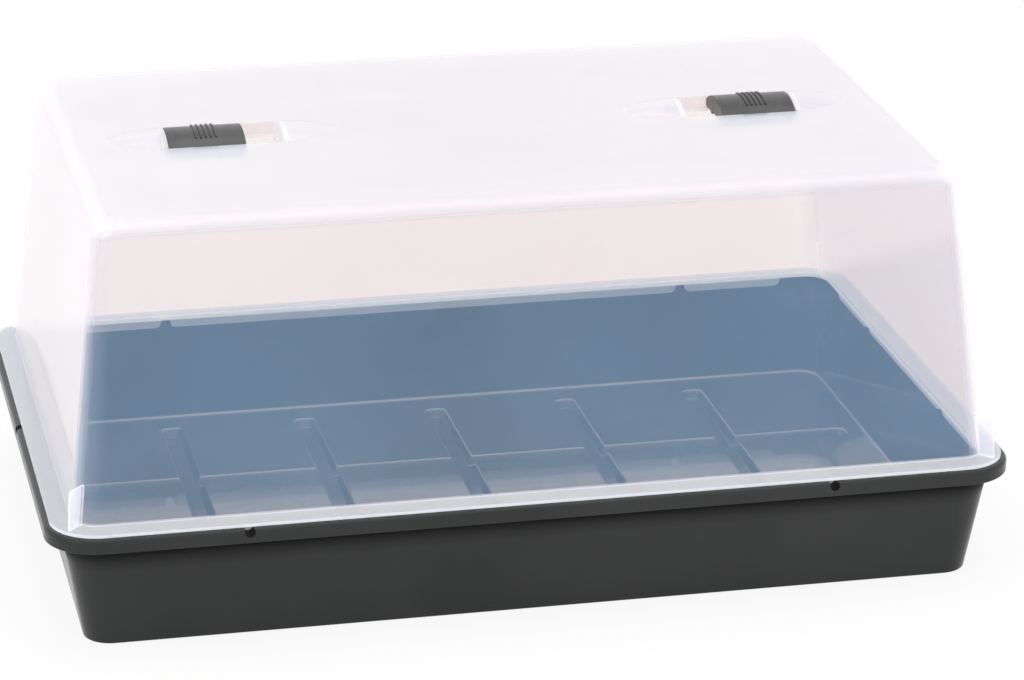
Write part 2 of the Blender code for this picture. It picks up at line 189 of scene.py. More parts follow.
def finishPiece(piece, name, body, node, material, smoothAngle=35):
    chooseOnly(piece)
    bpy.ops.object.shade_smooth_by_angle(angle=math.radians(smoothAngle))
    applyModifier(piece, "WEIGHTED_NORMAL", keep_sharp=True, weight=60)
    piece.name = piece.data.name = name
    piece.data.materials.clear()
    piece.data.materials.append(material)
    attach(piece, body)
    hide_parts(node)
    print(name, len(piece.data.polygons), "faces")


# materials

mostNoise = (0.35, 0.65)        # where most values of a noise lie
nearlyAllNoise = (0.3, 0.7)


def addNode(tree, kind, *links, **values):
    # links are (source socket, input name); values with an input's name set that input
    node = tree.nodes.new("ShaderNode" + kind)
    for name, value in values.items():
        if hasattr(node, name):
            setattr(node, name, value)
        else:
            node.inputs[name.replace("_", " ")].default_value = value
    for source, target in links:
        tree.links.new(source, node.inputs[target])
    return node


def mixColours(tree, factor, first, second):
    # first and second are sockets or colours
    node = addNode(tree, "Mix", data_type="RGBA")
    for place, value in ((0, factor), (6, first), (7, second)):
        if isinstance(value, bpy.types.NodeSocket):
            tree.links.new(value, node.inputs[place])
        else:
            node.inputs[place].default_value = value if place == 0 else (*value, 1)
    return node.outputs[2]


def multiplyColours(tree, first, second):
    node = addNode(tree, "Mix", data_type="RGBA", blend_type="MULTIPLY")
    node.inputs[0].default_value = 1.0
    tree.links.new(first, node.inputs[6])
    tree.links.new(second, node.inputs[7])
    return node.outputs[2]


def calculate(tree, operation, first, second=0.0, third=0.0):
    node = addNode(tree, "Math", operation=operation)
    for place, value in enumerate((first, second, third)):
        if isinstance(value, bpy.types.NodeSocket):
            tree.links.new(value, node.inputs[place])
        else:
            node.inputs[place].default_value = value
    return node.outputs[0]


def rescale(tree, value, lowFrom, highFrom, lowTo, highTo):
    node = addNode(tree, "MapRange", (value, 0))
    for place, number in zip((1, 2, 3, 4), (lowFrom, highFrom, lowTo, highTo)):
        node.inputs[place].default_value = number
    return node.outputs[0]


def product(tree, *values):
    result = values[0]
    for value in values[1:]:
        result = calculate(tree, "MULTIPLY", result, value)
    return result


def between(tree, value, rise, fall):
    # 1 between two soft limits
    return product(tree, rescale(tree, value, *rise, 0, 1), rescale(tree, value, *fall, 1, 0))


def downFrom(height, drops):
    return [height - drop for drop in drops]


def newMaterial(name):
    material = bpy.data.materials.new(name)
    material.use_nodes = True
    material.node_tree.nodes.clear()
    return material, material.node_tree


def buildMouldedGrain():
    # fine grain with slow shade changes, as moulded plastic has
    group = bpy.data.node_groups.new("mouldedGrain", "ShaderNodeTree")
    group.interface.new_socket(name="Place", in_out="INPUT", socket_type="NodeSocketVector")
    for name in ("Grain", "Drift", "Scuff"):
        group.interface.new_socket(name=name + " Scale", in_out="INPUT", socket_type="NodeSocketFloat")
        group.interface.new_socket(name=name, in_out="OUTPUT", socket_type="NodeSocketFloat")
    start = group.nodes.new("NodeGroupInput")
    end = group.nodes.new("NodeGroupOutput")
    for name, detail in (("Grain", 2), ("Drift", 3), ("Scuff", 4)):
        noise = addNode(group, "TexNoise", (start.outputs["Place"], "Vector"),
                        (start.outputs[name + " Scale"], "Scale"), Detail=detail, Roughness=0.6)
        group.links.new(noise.outputs["Fac"], end.inputs[name])
    return group


mouldedGrain = buildMouldedGrain()


def placeGrain(tree, grainScale, driftScale, scuffScale):
    place = addNode(tree, "TexCoord").outputs["Object"]
    node = tree.nodes.new("ShaderNodeGroup")
    node.node_tree = mouldedGrain
    tree.links.new(place, node.inputs["Place"])
    for name, scale in (("Grain", grainScale), ("Drift", driftScale), ("Scuff", scuffScale)):
        node.inputs[name + " Scale"].default_value = scale
    return node.outputs["Grain"], node.outputs["Drift"], node.outputs["Scuff"], place


# the tray

traySize = {
    "length": 0.580, "depth": 0.378, "height": 0.074, "wall": 0.002,
    "rimRadius": 0.0325, "rimDrop": 0.0085, "rimRound": 0.0025, "lipRound": 0.0006,
    "ledge": 0.0092, "innerRound": 0.0012,
    "taper": 0.012, "footRadius": 0.017, "footRound": 0.0015,
    "panelLift": 0.006, "floorFillet": 0.0018,
    "cornerSteps": 16,
    "grooveWidth": 0.0125, "grooveDraft": 0.0012, "grooveEndRadius": 0.004, "grooveSteps": 8,
    "grooveFootEdge": 0.0006,
    "crossPitch": 0.088, "crossHalf": 0.1472, "crossCount": 2,
    "longPlace": 0.0535, "longHalf": 0.2556,
    "grooveFillet": 0.0018, "panelRound": 0.0013,
    "notchFromEnd": 0.1155, "notchWidth": 0.006, "notchDepth": 0.005, "notchWall": 0.0015,
    "notchSides": 48,
}

trayLook = {
    "dark": (0.024, 0.025, 0.025),
    "light": (0.034, 0.035, 0.035),
    "insideRough": 0.14, "outsideRough": 0.20, "shadeRough": 0.8, "roughDrift": 0.06,
    "specular": 0.22, "coat": 1.0, "coatRough": 0.05,
    "grain": 0.00009, "ripple": 0.0012,
    "grainScales": (1100, 7, 55), "rippleScale": 9,     # grain, drift and scuff, then the wall's swell
    # a pair is where a soft limit starts and ends, and two more numbers are the values there; a slope is
    # 0 on a wall and 1 on a level face; heights are below the rim's top, its lip or the floor's panels
    "insideTop": (0.012, 0.008), "outsideFrom": (0.02, 0.06),
    "shade": (0.004, 0.004, 0.004), "shadeFoot": (0.017, 0.005), "shadeTop": (0.0004, 0),
    "notchFoot": (0.0060, 0.0056), "notchTop": (0.0028, 0.0024), "notchSlope": (0.1, 0.2),
    "dust": (0.160, 0.142, 0.112), "dustTop": (0.0015, -0.0030), "dustSlope": (0.75, 0.98),
    "dustBack": (-0.13, 0.06), "dustAtBack": 0.1, "dustPatches": (0.36, 0.66, 0.25, 0.85),
    # painted highlight along the panels' round edges and the foot of the wall
    "edgeHighlight": (0.34, 0.33, 0.31), "edgeHighlightShare": 0.6, "edgeHighlightSlopes": ((0.25, 0.55), (0.90, 0.985)),
    "edgeHighlightFoot": (0.0018, 0.0012), "edgeHighlightTop": (-0.0014, -0.0020),
}


def makeTrayPlastic():
    look = trayLook
    top, panels = traySize["height"], traySize["panelLift"] + traySize["wall"]
    lip = top - traySize["rimDrop"]
    material, tree = newMaterial("trayPlastic")
    grain, drift, scuff, place = placeGrain(tree, *look["grainScales"])
    colour = mixColours(tree, rescale(tree, drift, *mostNoise, 0, 1), look["dark"], look["light"])
    parts = addNode(tree, "SeparateXYZ", (place, 0))
    height = parts.outputs["Z"]

    # outer walls face away from the middle and have a moulded grain, the inside is smoother
    outwards = addNode(tree, "TexCoord").outputs["Normal"]
    upward = addNode(tree, "SeparateXYZ", (outwards, 0)).outputs["Z"]
    flat = addNode(tree, "VectorMath", (place, 0), operation="MULTIPLY")
    flat.inputs[1].default_value = (1, 1, 0)
    away = addNode(tree, "VectorMath", (flat.outputs[0], 0), (outwards, 1), operation="DOT_PRODUCT")
    outside = rescale(tree, away.outputs["Value"], *look["outsideFrom"], 0, 1)
    inside = rescale(tree, height, *downFrom(top, look["insideTop"]), 1, 0)
    inside = calculate(tree, "SUBTRACT", inside, outside)

    # painted shade: the colour is darkened under the rim's lip and in the notches, where hardly any light
    # gets in
    shadeHeights = downFrom(lip, look["shadeFoot"]), downFrom(lip, look["shadeTop"])
    underLip = product(tree, between(tree, height, *shadeHeights), outside)
    notchHeights = downFrom(top, look["notchFoot"]), downFrom(top, look["notchTop"])
    notched = product(tree, rescale(tree, upward, *look["notchSlope"], 0, 1),
                      between(tree, height, *notchHeights))
    shaded = calculate(tree, "MAXIMUM", underLip, notched)
    colour = mixColours(tree, shaded, colour, look["shade"])

    # a little dust lies on the flat floor, most of it to the front
    dust = product(tree, rescale(tree, height, *downFrom(panels, look["dustTop"]), 1, 0),
                   rescale(tree, parts.outputs["Y"], *look["dustBack"], 1, look["dustAtBack"]),
                   rescale(tree, drift, *look["dustPatches"]),
                   rescale(tree, upward, *look["dustSlope"], 0, 1))
    colour = mixColours(tree, dust, colour, look["dust"])

    # painted highlight: the panels' round edges and the foot of the wall are painted lighter, standing in
    # for the highlight lines that they catch
    edgeHighlightHeights = downFrom(panels, look["edgeHighlightFoot"]), downFrom(panels, look["edgeHighlightTop"])
    edgeHighlight = product(tree, between(tree, upward, *look["edgeHighlightSlopes"]),
                     between(tree, height, *edgeHighlightHeights), inside, look["edgeHighlightShare"])
    colour = mixColours(tree, edgeHighlight, colour, look["edgeHighlight"])

    roughness = rescale(tree, inside, 0, 1, look["outsideRough"], look["insideRough"])
    roughness = calculate(tree, "MAXIMUM", roughness, product(tree, shaded, look["shadeRough"]))
    roughness = calculate(tree, "ADD", roughness,
                          rescale(tree, scuff, *nearlyAllNoise, 0, look["roughDrift"]))
    fine = addNode(tree, "Bump", (product(tree, grain, outside), "Height"), Strength=0.6,
                   Distance=look["grain"])
    swell = addNode(tree, "TexNoise", (place, "Vector"), Scale=look["rippleScale"], Detail=0).outputs["Fac"]
    bump = addNode(tree, "Bump", (swell, "Height"), (fine.outputs[0], "Normal"), Strength=0.3,
                   Distance=look["ripple"])
    shader = addNode(tree, "BsdfPrincipled", (colour, "Base Color"), (roughness, "Roughness"),
                     (bump.outputs[0], "Normal"), (product(tree, inside, look["coat"]), "Coat Weight"))
    shader.inputs["Specular IOR Level"].default_value = look["specular"]
    shader.inputs["Coat Roughness"].default_value = look["coatRough"]
    addNode(tree, "OutputMaterial", (shader.outputs[0], "Surface"))
    return material


trayPlastic = makeTrayPlastic()
print("tray plastic made")


def trayWallAt(z, inwards=0.0):
    # inset from the rim's edge and corner radius of the wall's outside
    size = traySize
    drop = 1 - z / size["height"]
    topRadius = size["rimRadius"] - size["ledge"]
    radius = topRadius + (size["footRadius"] - topRadius) * drop
    return size["ledge"] + size["taper"] * drop + inwards, radius - inwards


def trayRing(inset, radius, z):
    return (traySize["length"] / 2 - inset, traySize["depth"] / 2 - inset, radius, z)


def trayRings():
    size = traySize
    wall, height = size["wall"], size["height"]
    floorZ = size["panelLift"] + wall
    rings = [trayRing(*trayWallAt(size["panelLift"], wall), size["panelLift"])]
    rings.append(trayRing(*trayWallAt(0, wall), 0))
    foot = size["footRound"]
    for inset, z in turnPoints((foot, foot), foot, 270, 180, 6):
        rings.append(trayRing(*trayWallAt(0, inset), z))
    underZ = height - wall
    rings.append(trayRing(*trayWallAt(underZ), underZ))
    rings.append(trayRing(wall, size["rimRadius"] - wall, underZ))
    lip, lipZ = size["lipRound"], height - size["rimDrop"]
    rings.append(trayRing(wall, size["rimRadius"] - wall, lipZ + lip))
    for inset, z in turnPoints((wall - lip, lipZ + lip), lip, 0, -90, 3)[1:]:
        rings.append(trayRing(inset, size["rimRadius"] - inset, z))
    for inset, z in turnPoints((lip, lipZ + lip), lip, 270, 180, 3):
        rings.append(trayRing(inset, size["rimRadius"] - inset, z))
    top = size["rimRound"]
    for inset, z in turnPoints((top, height - top), top, 180, 90, 8):
        rings.append(trayRing(inset, size["rimRadius"] - inset, z))
    inner = size["innerRound"]
    edge = size["ledge"] + wall - inner
    for inset, z in turnPoints((edge, height - inner), inner, 90, 0, 5):
        rings.append(trayRing(inset, size["rimRadius"] - inset, z))
    fillet = size["floorFillet"]
    for across, drop in turnPoints((fillet, 0), fillet, 180, 270, 9):
        z = floorZ + fillet + drop
        inset, radius = trayWallAt(z, wall + across)
        rings.append(trayRing(inset, max(radius, wall), z))
    return rings


def grooveRings(halfX, halfY, grows):
    radius = traySize["grooveEndRadius"]
    return [(halfX + grow, halfY + grow, radius + grow, z) for grow, z in grows]


def groovePlaces():
    size = traySize
    half = size["grooveWidth"] / 2
    places = [(step * size["crossPitch"], 0, half, size["crossHalf"])
              for step in range(-size["crossCount"], size["crossCount"] + 1)]
    return places + [(0, side * size["longPlace"], size["longHalf"], half) for side in bothSides]


def grooveTrough():
    # the underside of the sunk grooves, as one network
    size = traySize
    wall, draft, edge = size["wall"], size["grooveDraft"], size["grooveFootEdge"]
    grows = [(wall - draft - edge, 0), (wall - draft, edge), (wall, size["panelLift"] + wall / 2)]
    bodies = [ringBody("trough", grooveRings(halfX, halfY, grows), size["grooveSteps"], (x, y))
              for x, y, halfX, halfY in groovePlaces()]
    return weldOn(bodies[0], *bodies[1:])


def grooveSpace():
    # the space in the grooves, flared at the top so that the panels get round edges
    size = traySize
    floorZ = size["panelLift"] + size["wall"]
    draft, fillet, flare = size["grooveDraft"], size["grooveFillet"], size["panelRound"]
    grows = turnPoints((-draft - fillet, size["wall"] + fillet), fillet, 270, 360, 5)
    grows += turnPoints((flare, floorZ - flare), flare, 180, 90, 5)
    grows.append((flare + overlap / 5, floorZ + overlap))
    bodies = [ringBody("groove", grooveRings(halfX, halfY, grows), size["grooveSteps"], (x, y))
              for x, y, halfX, halfY in groovePlaces()]
    return weldOn(bodies[0], *bodies[1:])


def notchBody(width, depth, rise, outer, inner):
    # a U-shaped body along Y, on the front rim at X 0; outer and inner are insets
    size = traySize
    half = width / 2
    low, high = -(size["depth"] / 2 - outer), -(size["depth"] / 2 - inner)
    middle, top = size["height"] - depth + half, size["height"] + rise
    body = weldOn(makeRod(half, low, high, 1, (0, middle), size["notchSides"]),
                  makeBlock((-half, low, middle), (half, high, middle + half)))
    return cutAway(body, makeBlock((-width, low - width, top), (width, high + width, top + width)))


def notchPlaces():
    size = traySize
    along = size["length"] / 2 - size["notchFromEnd"]
    halfDifference = (size["length"] - size["depth"]) / 2
    for angle in (0, 180):
        for x in (-along, along):
            yield angle, (x, 0, 0)
    for angle, side in ((90, 1), (270, -1)):
        yield angle, (side * halfDifference, 0, 0)


def makeTray():
    size = traySize
    tray = ringBody("tray", trayRings(), size["cornerSteps"])
    weldOn(tray, grooveTrough())
    cutAway(tray, grooveSpace())
    width, depth, wall = size["notchWidth"], size["notchDepth"], size["notchWall"]
    troughEnd = trayWallAt(size["height"] - depth - wall, size["wall"] / 4)[0]
    channelEnd = trayWallAt(size["height"] - depth, size["wall"] + overlap)[0]
    for angle, place in notchPlaces():
        trough = notchBody(width + 2 * wall, depth + wall, -size["wall"] / 2, size["wall"] / 2, troughEnd)
        channel = notchBody(width, depth, overlap, -overlap, channelEnd)
        weldOn(tray, placeAt(trough, angle, place))
        cutAway(tray, placeAt(channel, angle, place))
    finishPiece(tray, "baseTray", "tray", "base_tray", trayPlastic)


makeTray()
print("tray made")


# the lid

lidSize = {
    "height": 0.2525, "wall": 0.0015, "taper": 0.0202,
    "baseRadius": 0.016, "topRadius": 0.0126, "topRound": 0.0115,
    "seat": 0.0743, "flangeThickness": 0.002, "flangeWidth": 0.0121, "flangeSetback": 0.0035,
    "flangeEdge": 0.0004, "flangeFillet": 0.0011, "cornerSteps": 16,
    "skirtDepth": 0.006, "skirtWall": 0.0015, "skirtClearance": 0.0004, "skirtGap": 0.0064,
    "skirtEndRadius": 0.0037, "skirtGapFromFront": 0.1085, "skirtCornerClear": 0.0425,
    "finHeight": 0.024, "finThickness": 0.0013, "finEdgeClear": 0.0012, "finLean": 0.0016,
    "finTopRadius": 0.003, "finEdge": 0.0003, "finRoot": 0.0011, "finRootOut": 0.0003,
    "finRootSides": 24, "endSteps": 8,
}

ventSize = {
    "place": 0.1594, "trackLength": 0.070, "halfWidth": 0.0214, "trackDepth": 0.0062, "trackWall": 0.0015,
    "archRise": 0.005, "archFootDrop": 0.0015, "archWall": 0.002,
    "fairingLength": 0.0358, "fairingSteps": 14, "fairingTip": 0.05, "holeHalfWidth": 0.0155,
    "holeInner": 0.1264, "holeOuter": 0.1644, "archSides": 160,
}

lidLook = {
    "hazePerSheet": (0.054, 0.130, 0.204),      # share of light that one face's haze takes, head on
    "levelHaze": 0.1, "flangeShare": 0.4, "flangeBlur": 0.0004, "cloud": 0.2,
    "edgeOnPath": 0.556,        # square of the slant inside the plastic, where a face is seen edge on
    "slantBloom": 0.012, "slantPower": 2.0, "leastSlant": 0.08,     # white haze seen on a slant
    # a pair is where a soft limit starts and ends, and two more numbers are the values there; a slope is
    # 0 on a wall and 1 on a level face; heights are below the lid's top or the flange's seat
    "edgeDepth": (3.0, 9.0), "edgeBloom": 0.9,      # mm and the white haze of deep edges
    "ventEdges": (0.006, 0.005), "ventEdgeShare": 0.3,      # what is left of it above the vents' edges
    # painted highlight: extra white haze on the round bend between the top and the walls
    "bendPaintedHighlight": 0.24, "bendSlopes": ((0.13, 0.65), (0.75, 1.0)),
    "cornerBloom": 0.42, "cornerTurn": (0.0, 0.4), "cornerSlant": (0.15, 0.85), "cornerHeadOn": 0.1,
    "flangeBloom": 0.52, "flangeSlope": (0.3, 0.9, 1.5, 0.20), "skirtBloom": 0.22, "skirtTop": (0.0002, 0),
    "levelBloom": 0.30, "levelPower": 6.0, "levelSlant": (0.4, 0.95), "levelHeadOn": 0.2,
    "finBloom": 0.16, "finDepth": (1.35, 1.45),     # mm
    "thinHaze": (0.62, 0.62, 0.71),     # colour of the light that a thin haze sends on
    "thickHaze": (0.99, 0.925, 0.93), "thickFrom": (0.2, 0.48), "flangeHaze": (0.86, 0.89, 0.92),
    "frontShare": 0.71, "backShare": 0.70,
    "mirrorHeadOn": 0.03, "mirrorEdgeOn": 0.97, "wallMirrorPower": 8.5, "levelMirrorPower": 3.2,
    "mirrorRough": 0.07, "wave": 0.0008,
    # how plasticDepth is measured
    "probeStart": 0.00002, "probeReach": 0.02, "depthLimits": (1.0, 12.0),
    "narrowFace": 0.00035, "gathered": 0.8,
}


def lidBloom(tree, height, below, slant, upright, depth):
    # how much white haze a face has, by its slant, its depth and the form that it belongs to; on the bend
    # between top and walls part of it is a painted highlight
    look, seat, top = lidLook, lidSize["seat"], lidSize["height"]
    slanted = product(tree, calculate(tree, "POWER", slant, -look["slantPower"]), look["slantBloom"])
    deep = product(tree, rescale(tree, depth, *look["edgeDepth"], 0, look["edgeBloom"]),
                   rescale(tree, height, *downFrom(top, look["ventEdges"]), 1, look["ventEdgeShare"]))
    # painted highlight: extra white haze on the round bend stands in for the highlight band that the bend
    # catches
    bend = product(tree, between(tree, upright, *look["bendSlopes"]), look["bendPaintedHighlight"])
    parts = addNode(tree, "SeparateXYZ", (addNode(tree, "TexCoord").outputs["Normal"], 0))
    both = calculate(tree, "ABSOLUTE", product(tree, parts.outputs["X"], parts.outputs["Y"]))
    corner = product(tree, rescale(tree, both, *look["cornerTurn"], 0, look["cornerBloom"]),
                     rescale(tree, slant, *look["cornerSlant"], 1, look["cornerHeadOn"]))
    skirtOrFlange = rescale(tree, height, *downFrom(seat, look["skirtTop"]),
                            look["skirtBloom"], look["flangeBloom"])
    flange = product(tree, below, skirtOrFlange, rescale(tree, upright, *look["flangeSlope"]))
    level = product(tree, calculate(tree, "POWER", upright, look["levelPower"]), look["levelBloom"],
                    rescale(tree, slant, *look["levelSlant"], 1, look["levelHeadOn"]))
    thin = rescale(tree, depth, *look["finDepth"], look["finBloom"], 0)
    bloom = slanted
    for part in (deep, bend, corner, flange, level, thin):
        bloom = calculate(tree, "ADD", bloom, part)
    return bloom


def makeLidPlastic():
    look = lidLook
    material, tree = newMaterial("lidPlastic")
    place = addNode(tree, "TexCoord").outputs["Object"]
    height = addNode(tree, "SeparateXYZ", (place, 0)).outputs["Z"]
    facing = addNode(tree, "LayerWeight", Blend=0.5).outputs["Facing"]
    slant = calculate(tree, "MAXIMUM", calculate(tree, "SUBTRACT", 1.0, facing), look["leastSlant"])
    upright = addNode(tree, "SeparateXYZ", (addNode(tree, "TexCoord").outputs["Normal"], 0)).outputs["Z"]
    upright = calculate(tree, "ABSOLUTE", upright)
    level = calculate(tree, "POWER", upright, 2.0)
    flangeTop = lidSize["seat"] + lidSize["flangeThickness"] + lidSize["flangeFillet"]
    below = rescale(tree, height, flangeTop - look["flangeBlur"], flangeTop + look["flangeBlur"], 1, 0)
    depth = addNode(tree, "Attribute", attribute_name="plasticDepth").outputs["Fac"]

    # the way through the plastic is longer on a slant, and level parts are hazier
    squared = calculate(tree, "POWER", slant, 2.0)
    inPlastic = calculate(tree, "SQRT", rescale(tree, squared, 0, 1, look["edgeOnPath"], 1))
    cloud = addNode(tree, "TexNoise", (place, "Vector"), Scale=5.5, Detail=3, Roughness=0.5).outputs["Fac"]
    amount = product(tree, rescale(tree, cloud, *nearlyAllNoise, 1 - look["cloud"], 1 + look["cloud"]),
                     calculate(tree, "MULTIPLY_ADD", level, look["levelHaze"], 1.0))
    amount = calculate(tree, "DIVIDE", amount, inPlastic)
    amount = product(tree, amount, rescale(tree, below, 0, 1, 1, look["flangeShare"]))
    bloom = lidBloom(tree, height, below, slant, upright, depth)
    clear = addNode(tree, "RGB")
    clear.outputs[0].default_value = (*[math.exp(-haze) for haze in look["hazePerSheet"]], 1)
    passed = addNode(tree, "Gamma", (clear.outputs[0], "Color"), (amount, "Gamma")).outputs[0]
    passed = multiplyColours(tree, passed, calculate(tree, "EXPONENT", product(tree, bloom, -1.0)))

    # what doesn't pass is sent on by the haze
    hazed = addNode(tree, "Invert", (passed, "Color"), Fac=1.0).outputs[0]
    green = addNode(tree, "SeparateColor", (hazed, 0)).outputs[1]
    haze = mixColours(tree, rescale(tree, green, *look["thickFrom"], 0, 1),
                      look["thinHaze"], look["thickHaze"])
    haze = mixColours(tree, below, haze, look["flangeHaze"])
    scattered = multiplyColours(tree, hazed, haze)
    forward = mixColours(tree, look["frontShare"], (0, 0, 0), scattered)
    backward = mixColours(tree, look["backShare"], (0, 0, 0), scattered)

    power = rescale(tree, level, 0, 1, look["wallMirrorPower"], look["levelMirrorPower"])
    mirror = calculate(tree, "MULTIPLY_ADD", calculate(tree, "POWER", facing, power),
                       look["mirrorEdgeOn"] - look["mirrorHeadOn"], look["mirrorHeadOn"])
    wave = addNode(tree, "TexNoise", (place, "Vector"), Scale=14, Detail=2, Roughness=0.4).outputs["Fac"]
    bump = addNode(tree, "Bump", (wave, "Height"), Strength=0.6, Distance=look["wave"]).outputs[0]

    through = addNode(tree, "BsdfTransparent", (passed, "Color"))
    front = addNode(tree, "BsdfDiffuse", (forward, "Color"))
    behind = addNode(tree, "BsdfTranslucent", (backward, "Color"))
    gloss = addNode(tree, "BsdfAnisotropic", (bump, "Normal"), Roughness=look["mirrorRough"])
    glow = addNode(tree, "AddShader", (front.outputs[0], 0), (behind.outputs[0], 1))
    body = addNode(tree, "AddShader", (through.outputs[0], 0), (glow.outputs[0], 1))
    skin = addNode(tree, "MixShader", (mirror, 0), (body.outputs[0], 1), (gloss.outputs[0], 2))
    addNode(tree, "OutputMaterial", (skin.outputs[0], "Surface"))
    return material


lidPlastic = makeLidPlastic()
print("lid plastic made")


def markDepth(piece):
    # for each face, how many mm of plastic lie straight behind it
    look, mesh = lidLook, piece.data
    least, most = look["depthLimits"]
    mesh.calc_loop_triangles()
    corners = [vert.co for vert in mesh.vertices]
    tree = BVHTree.FromPolygons(corners, [tri.vertices for tri in mesh.loop_triangles])
    largest = {}
    for tri in mesh.loop_triangles:
        if tri.area > largest.get(tri.polygon_index, (0,))[0]:
            middle = sum((corners[index] for index in tri.vertices), Vector()) / 3
            largest[tri.polygon_index] = (tri.area, middle, tri.normal.copy())
    depths = mesh.attributes.new("plasticDepth", "FLOAT", "FACE")
    for polygon in mesh.polygons:
        depth = lidSize["wall"]
        if polygon.index in largest:
            middle, normal = largest[polygon.index][1:]
            hit = tree.ray_cast(middle - normal * look["probeStart"], -normal, look["probeReach"])
            depth = hit[3] if hit[0] else look["probeReach"]
        depths.data[polygon.index].value = min(max(depth * 1000, least), most)

    # a narrow face on a round edge gathers the light of the deep face beside it
    deepest = [0.0] * len(mesh.vertices)
    for polygon in mesh.polygons:
        for index in polygon.vertices:
            deepest[index] = max(deepest[index], depths.data[polygon.index].value)
    for polygon in mesh.polygons:
        points = [corners[index] for index in polygon.vertices]
        outline = sum((a - b).length for a, b in zip(points, points[1:] + points[:1]))
        if 2 * polygon.area / outline < look["narrowFace"]:
            around = max(deepest[index] for index in polygon.vertices)
            value = depths.data[polygon.index].value
            depths.data[polygon.index].value = max(value, look["gathered"] * around)


def lidWallAt(z, inwards=0.0):
    size = lidSize
    flangeTop = size["seat"] + size["flangeThickness"]
    rise = (z - flangeTop) / (size["height"] - flangeTop)
    radius = size["baseRadius"] + (size["topRadius"] - size["baseRadius"]) * rise
    return size["flangeWidth"] + size["taper"] * rise + inwards, radius - inwards


def lidRing(inset, radius, z):
    setback = lidSize["flangeSetback"] + inset
    return (traySize["length"] / 2 - setback, traySize["depth"] / 2 - setback, radius, z)


def lidTopRings(inwards):
    size = lidSize
    turn = size["topRound"] - inwards
    rings = []
    for across, rise in turnPoints((turn, 0), turn, 180, 90, 12):
        z = size["height"] - size["topRound"] + rise
        inset, radius = lidWallAt(z, inwards + across)
        rings.append(lidRing(inset, max(radius, size["wall"]), z))
    return rings


def lidRings():
    size = lidSize
    flangeRadius = traySize["rimRadius"] - size["flangeSetback"]
    flangeTop = size["seat"] + size["flangeThickness"]
    rings = list(reversed(lidTopRings(size["wall"])))
    rings.append(lidRing(*lidWallAt(size["seat"], size["wall"]), size["seat"]))
    rings.append(lidRing(0, flangeRadius, size["seat"]))
    edge = size["flangeEdge"]
    for inset, z in turnPoints((edge, flangeTop - edge), edge, 180, 90, 3):
        rings.append(lidRing(inset, flangeRadius - inset, z))
    fillet = size["flangeFillet"]
    width, radius = lidWallAt(flangeTop + fillet)
    for inset, z in turnPoints((width - fillet, flangeTop + fillet), fillet, 270, 360, 5):
        rings.append(lidRing(inset, radius + width - inset, z))
    return rings + lidTopRings(0.0)


def skirtSpans(halfLength, gapMiddle):
    size = lidSize
    end = halfLength - size["skirtCornerClear"]
    near, far = gapMiddle - size["skirtGap"] / 2, gapMiddle + size["skirtGap"] / 2
    return [(-end, -far), (-near, near), (far, end)]


def skirtPiece(start, end, distance):
    size = lidSize
    half = size["skirtWall"] / 2
    low, high = size["seat"] - size["skirtDepth"], size["seat"] + size["flangeThickness"] / 2
    piece = makeBlock((start, -distance - half, low), (end, -distance + half, high))
    startEditing(piece, "EDGE")
    pick(piece, "edges", lambda e: abs(e.verts[0].co.y - e.verts[1].co.y) > half
         and (e.verts[0].co.z + e.verts[1].co.z) / 2 < low + half)
    bpy.ops.mesh.bevel(offset=size["skirtEndRadius"], segments=size["endSteps"], affect="EDGES")
    stopEditing()
    return piece


def addSkirt(lid):
    size = lidSize
    foot = size["seat"] - size["skirtDepth"]
    inset = trayWallAt(foot, traySize["wall"] + size["skirtClearance"] + size["skirtWall"] / 2)[0]
    halfLength = traySize["length"] / 2 - size["flangeSetback"]
    halfDepth = traySize["depth"] / 2 - size["flangeSetback"]
    notchX = traySize["length"] / 2 - traySize["notchFromEnd"]
    sides = ((halfLength, traySize["depth"] / 2 - inset, notchX, (0, 180)),
             (halfDepth, traySize["length"] / 2 - inset, halfDepth - size["skirtGapFromFront"], (90, 270)))
    for half, distance, gapMiddle, angles in sides:
        for angle in angles:
            for start, end in skirtSpans(half, gapMiddle):
                weldOn(lid, placeAt(skirtPiece(start, end, distance), angle))


def cornerReach(z, inwards):
    # how far the lid's corner stands out from the middle of the flange's corner round
    inset, turn = lidWallAt(z, inwards)
    return math.sqrt(2) * (traySize["rimRadius"] - lidSize["flangeSetback"] - inset - turn) + turn


def finRoot():
    # the thicker line where a fin meets the lid's corner
    size = lidSize
    flangeTop = size["seat"] + size["flangeThickness"]
    low, high = flangeTop - size["flangeThickness"] / 2, flangeTop + size["finHeight"]
    start = Vector((cornerReach(low, -size["finRootOut"]), 0, low))
    end = Vector((cornerReach(high, -size["finRootOut"]), 0, high))
    bpy.ops.mesh.primitive_cylinder_add(vertices=size["finRootSides"], radius=size["finRoot"],
                                        depth=(end - start).length)
    root = bpy.context.active_object
    root.rotation_euler = (end - start).to_track_quat("Z", "Y").to_euler()
    root.location = (start + end) / 2
    return roundEdges(settle(root), size["finRoot"] / 2, 3)


